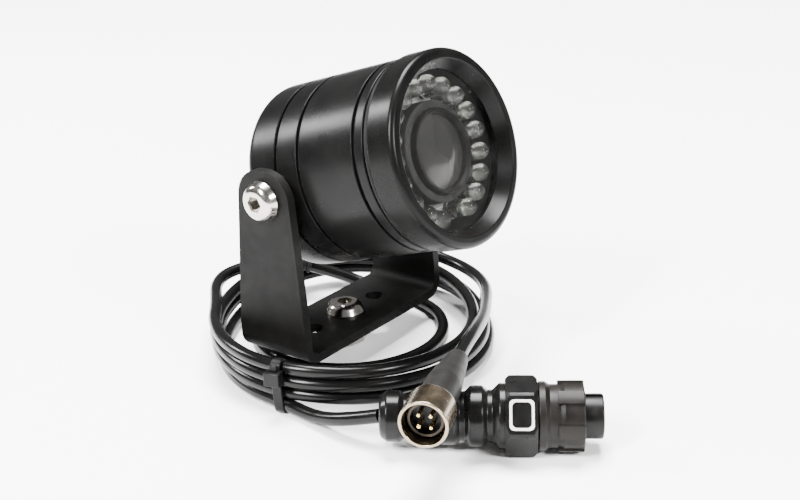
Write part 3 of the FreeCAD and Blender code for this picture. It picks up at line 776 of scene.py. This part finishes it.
# ---------------------------------------------------------------- plug label
def label_border(material):
    """Blank pale border on the plug's hexagon, where a label would be."""
    flats = 0.0172
    start, end = 0.0309, 0.0367
    half_height = 0.0036
    line = 0.0006
    corner = 0.0011
    facing = Matrix.Rotation(math.radians(60), 4, "X")
    outline = rounded([(start, -half_height, corner), (end, -half_height, corner),
                       (end, half_height, corner), (start, half_height, corner)])
    middle = Vector(((start + end) / 2, 0))
    shape = bmesh.new()
    rings = []
    sunk, proud = 0.0001, 0.00012
    for lift in (flats / 2 - sunk, flats / 2 + proud):
        for inset in (0.0, line):
            ring = []
            for point in outline:
                inward = middle - point
                shrunk = point + Vector((math.copysign(inset, inward.x), math.copysign(inset, inward.y)))
                ring.append(shape.verts.new(ON_PLUG @ facing @ Vector((shrunk.x, shrunk.y, lift))))
            rings.append(ring)
    lower_out, lower_in, upper_out, upper_in = rings
    for ring, following in ((lower_out, upper_out), (upper_out, upper_in), (upper_in, lower_in),
                            (lower_in, lower_out)):
        bridge(shape, ring, following)
    dress(add_piece("label_border", shape, "bracket"), material)


# ---------------------------------------------------------------- stage
CAMERA_PLACE = Vector((-0.2546, -0.2171, 0.1584))
CAMERA_ROLL = math.radians(-2)
AIM = Vector((0.0069, -0.0150, 0.0290))
WORLD_STRENGTH = 0.30
# Each lamp's name, place, size and power.
LAMPS = [
    ("key", (-0.60, 0.05, 0.55), (0.12, 0.30), 20.0),
    ("edge", (-0.23, 0.68, 0.44), (0.10, 0.22), 9.0),
    ("top", (0.35, 0.20, 1.70), (0.9, 0.9), 200.0),
    ("front", (-0.10, -0.80, 0.50), (0.20, 0.20), 14.0),
]


def stage():
    """Pale floor, white world light and soft lamps."""
    bpy.ops.mesh.primitive_plane_add(size=6.0, location=(0, 0, 0))
    floor = bpy.context.object
    floor.name = "floor"
    paint = Paint("floor_white")
    paint.colour((0.93, 0.93, 0.93), (0.95, 0.95, 0.95), paint.noise(0.3))
    paint.set(Roughness=0.9, Specular_IOR_Level=0.1)
    dress(floor, paint.material)
    world = bpy.data.worlds.new("studio")
    world.use_nodes = True
    background = world.node_tree.nodes["Background"]
    background.inputs["Color"].default_value = (1, 1, 1, 1)
    background.inputs["Strength"].default_value = WORLD_STRENGTH
    bpy.context.scene.world = world
    for name, place, size, power in LAMPS:
        data = bpy.data.lights.new(name, "AREA")
        data.shape = "RECTANGLE"
        data.size, data.size_y = size
        data.energy = power
        lamp = add_object(name, data)
        lamp.location = place
        lamp.rotation_mode = "QUATERNION"
        lamp.rotation_quaternion = (AIM - Vector(place)).to_track_quat("-Z", "Y")


def photo_camera():
    """The camera, at the same angle to the object as in the picture."""
    data = bpy.data.cameras.new("view")
    data.lens = 58
    data.clip_start = 0.01
    camera = add_object("view", data)
    camera.location = CAMERA_PLACE
    camera.rotation_mode = "QUATERNION"
    level = (AIM - CAMERA_PLACE).to_track_quat("-Z", "Y")
    camera.rotation_quaternion = level @ Quaternion((0, 0, 1), CAMERA_ROLL)
    bpy.context.scene.camera = camera


photo_camera()
stage()
paint_nodes()

sheath = nodes["inner_lead"].data.materials[0]
tee = split_tee()
dress(tee, nodes["branch_overmould"].data.materials[0])
trunk_lead(sheath)
free_lead("plug_cable", PLUG_LEAD_START + coil_points() + PLUG_LEAD_TAIL, ["lead_coil", "plug_lead"],
          sheath)
free_lead("branch_cable", BRANCH_ROUTE, ["branch_lead"], sheath)
cable_tie(plastic("tie_black", BLACK, SOOT, 0.3, 0.45))
infrared_lamps(metal("lamp_silver", (0.14, 0.14, 0.13), (0.44, 0.43, 0.40), 0.15, 0.3),
               plastic("lamp_die", (0.05, 0.03, 0.03), (0.10, 0.06, 0.05), 0.3, 0.4))
label_border(nodes["board_header"].data.materials[0])
gland_grip(nodes["gland_body"].data.materials[0])
